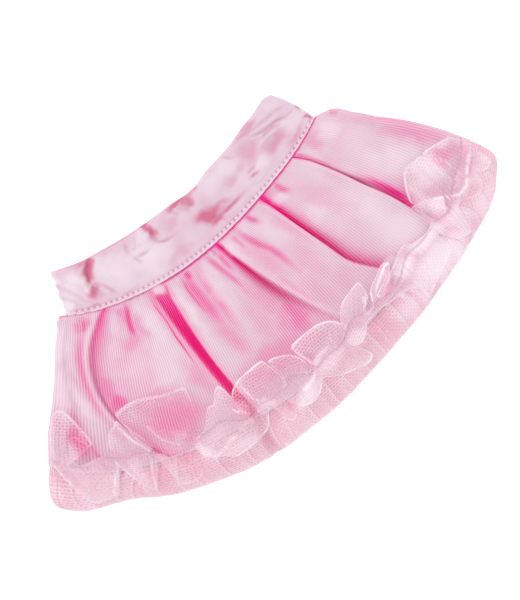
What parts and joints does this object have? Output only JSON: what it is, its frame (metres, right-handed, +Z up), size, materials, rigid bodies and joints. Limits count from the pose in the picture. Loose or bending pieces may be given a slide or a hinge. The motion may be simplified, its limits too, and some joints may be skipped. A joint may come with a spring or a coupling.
{
  "type": "doll's tutu skirt",
  "caption": "Small gathered tutu skirt laid flat on its back: satin waistband casing, net overskirt on a satin lining, net flounce at the hem and a lobed net ruffle over its seam",
  "frame": {"origin": "centre of the bounding box in plan, on the surface that the skirt lies on", "axes": "+Y runs from the hem to the waist, +X to the right across the front, +Z up out of the front"},
  "size_m": [0.2473, 0.1275, 0.025],
  "materials": {
    "band_satin": "pale pink polyester satin, soft sheen, gathered creases",
    "lining_satin": "bright pink satin, soft sheen",
    "skirt_net": "fine ribbed pink net, matt, the lining shows through",
    "trim_net": "pale pink hexagonal net, crisp, see-through"
  },
  "bodies": {
    "root": {"waistband_front": "band_satin", "waistband_back": "band_satin", "lining_front": "lining_satin", "lining_back": "lining_satin", "overskirt_front": "skirt_net", "overskirt_back": "skirt_net", "flounce_front": "trim_net", "flounce_back": "trim_net", "ruffle_front": "trim_net", "ruffle_back": "trim_net"}
  },
  "joints": []
}
